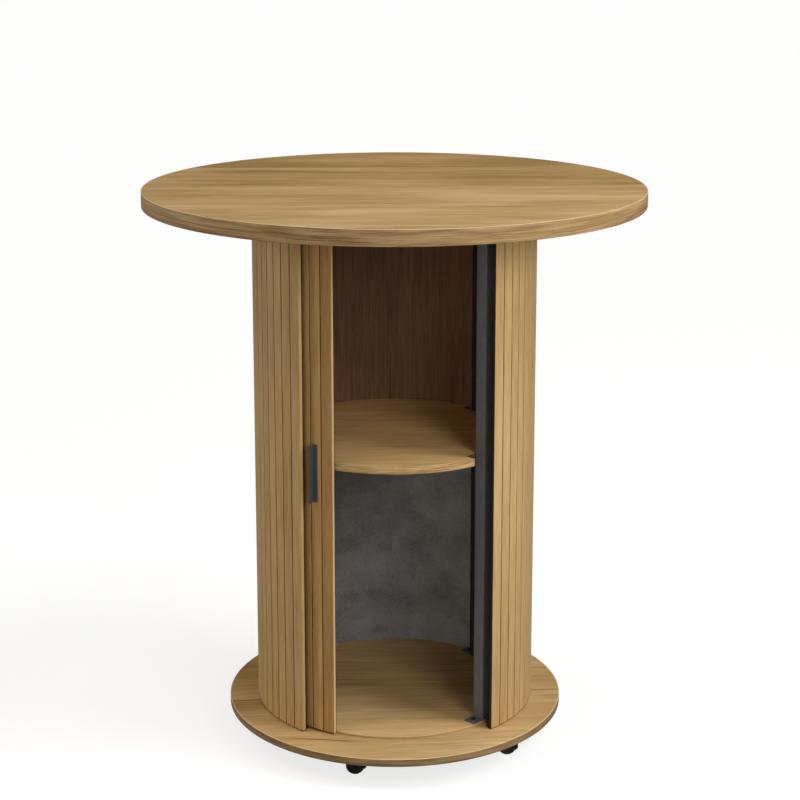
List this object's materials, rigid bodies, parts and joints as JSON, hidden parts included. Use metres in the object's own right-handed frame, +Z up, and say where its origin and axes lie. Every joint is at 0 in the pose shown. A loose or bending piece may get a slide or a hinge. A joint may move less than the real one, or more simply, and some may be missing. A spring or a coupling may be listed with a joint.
{
  "type": "pub table with storage",
  "caption": "Tall round pub table whose fluted drum base hides a shelved cabinet behind a curved sliding door, on low twin wheel casters.",
  "frame": {"origin": "on the floor, under the middle of the tabletop", "axes": "+Z up, -Y through the middle of the opening, +X to the right of someone who faces the opening"},
  "size_m": [0.8999, 0.9, 1.016],
  "materials": {
    "oak_laminate": "satin oak laminate, straight horizontal grain",
    "oak_edge": "satin oak edge banding",
    "oak_slats": "satin oak wrap, vertical grain, dark grooves",
    "brown_liner": "dark brown hardboard, vertical grain",
    "felt": "charcoal felt",
    "canvas": "black canvas backing",
    "grey_steel": "dark grey powder coat",
    "black_metal": "satin black powder coat",
    "black_steel": "black oxide",
    "zinc": "bright zinc plate",
    "black_plastic": "moulded black plastic",
    "rubber": "black rubber",
    "tyre": "soft black tread"
  },
  "bodies": {
    "cabinet": {"tabletop": "oak_laminate", "tabletop_edge_band": "oak_edge", "roof_panel": "oak_laminate", "base_plate": "oak_laminate", "base_edge_band": "oak_edge", "floor_disc": "oak_laminate", "shell_slats_right": "oak_slats", "shell_slats_rear": "oak_slats", "shell_slats_left": "oak_slats", "shell_backing": "canvas", "shell_brackets": "black_plastic", "shell_bracket_screws": "zinc", "front_posts": "grey_steel", "rear_posts": "grey_steel", "post_tabs": "grey_steel", "post_screws": "black_steel", "shelf_tabs": "grey_steel", "shelf": "oak_laminate", "shelf_edge_band": "oak_edge", "shelf_screws": "zinc", "liner_right": "brown_liner", "liner_rear": "brown_liner", "liner_left": "brown_liner", "liner_screws": "black_steel", "felt_lining": "felt", "top_track": "black_plastic", "track_screws": "zinc", "door_stops": "rubber", "caster_plates": "zinc", "caster_kingpins": "zinc", "caster_screws": "zinc"},
    "door": {"door_lead_slat": "oak_slats", "door_slats": "oak_slats", "door_backing": "canvas", "door_glides": "black_plastic", "door_runners": "black_plastic", "handle": "black_metal", "handle_screws": "black_steel"},
    "caster_1_swivel": {"caster_1_housing": "black_plastic"},
    "caster_1_wheels": {"caster_1_axle": "zinc", "caster_1_hubs": "black_plastic", "caster_1_tyres": "tyre"},
    "caster_2_swivel": {"caster_2_housing": "black_plastic"},
    "caster_2_wheels": {"caster_2_axle": "zinc", "caster_2_hubs": "black_plastic", "caster_2_tyres": "tyre"},
    "caster_3_swivel": {"caster_3_housing": "black_plastic"},
    "caster_3_wheels": {"caster_3_axle": "zinc", "caster_3_hubs": "black_plastic", "caster_3_tyres": "tyre"},
    "caster_4_swivel": {"caster_4_housing": "black_plastic"},
    "caster_4_wheels": {"caster_4_axle": "zinc", "caster_4_hubs": "black_plastic", "caster_4_tyres": "tyre"},
    "caster_5_swivel": {"caster_5_housing": "black_plastic"},
    "caster_5_wheels": {"caster_5_axle": "zinc", "caster_5_hubs": "black_plastic", "caster_5_tyres": "tyre"}
  },
  "joints": [
    {"name": "door_slide_round", "type": "hinge", "parent": "cabinet", "child": "door", "pos_m": [0, 0, 0.52], "axis": [0, 0, 1], "range_deg": [0, 72.3]},
    {"name": "caster_1_turn", "type": "hinge", "parent": "cabinet", "child": "caster_1_swivel", "pos_m": [-0.08889, -0.22508, 0.04], "axis": [0, 0, 1], "continuous": true},
    {"name": "caster_1_roll", "type": "hinge", "parent": "caster_1_swivel", "child": "caster_1_wheels", "pos_m": [-0.0759, -0.22554, 0.0165], "axis": [0.0349, 0.9994, 0], "continuous": true},
    {"name": "caster_2_turn", "type": "hinge", "parent": "cabinet", "child": "caster_2_swivel", "pos_m": [0.1866, -0.15409, 0.04], "axis": [0, 0, 1], "continuous": true},
    {"name": "caster_2_roll", "type": "hinge", "parent": "caster_2_swivel", "child": "caster_2_wheels", "pos_m": [0.19955, -0.15523, 0.0165], "axis": [0.0872, 0.9962, 0], "continuous": true},
    {"name": "caster_3_turn", "type": "hinge", "parent": "cabinet", "child": "caster_3_swivel", "pos_m": [0.20421, 0.12985, 0.04], "axis": [0, 0, 1], "continuous": true},
    {"name": "caster_3_roll", "type": "hinge", "parent": "caster_3_swivel", "child": "caster_3_wheels", "pos_m": [0.20758, 0.14241, 0.0165], "axis": [-0.9659, 0.2588, 0], "continuous": true},
    {"name": "caster_4_turn", "type": "hinge", "parent": "cabinet", "child": "caster_4_swivel", "pos_m": [-0.06039, 0.23434, 0.04], "axis": [0, 0, 1], "continuous": true},
    {"name": "caster_4_roll", "type": "hinge", "parent": "caster_4_swivel", "child": "caster_4_wheels", "pos_m": [-0.0726, 0.23879, 0.0165], "axis": [-0.342, -0.9397, 0], "continuous": true},
    {"name": "caster_5_turn", "type": "hinge", "parent": "cabinet", "child": "caster_5_swivel", "pos_m": [-0.24154, 0.01499, 0.04], "axis": [0, 0, 1], "continuous": true},
    {"name": "caster_5_roll", "type": "hinge", "parent": "caster_5_swivel", "child": "caster_5_wheels", "pos_m": [-0.24989, 0.00503, 0.0165], "axis": [0.766, -0.6428, 0], "continuous": true}
  ]
}
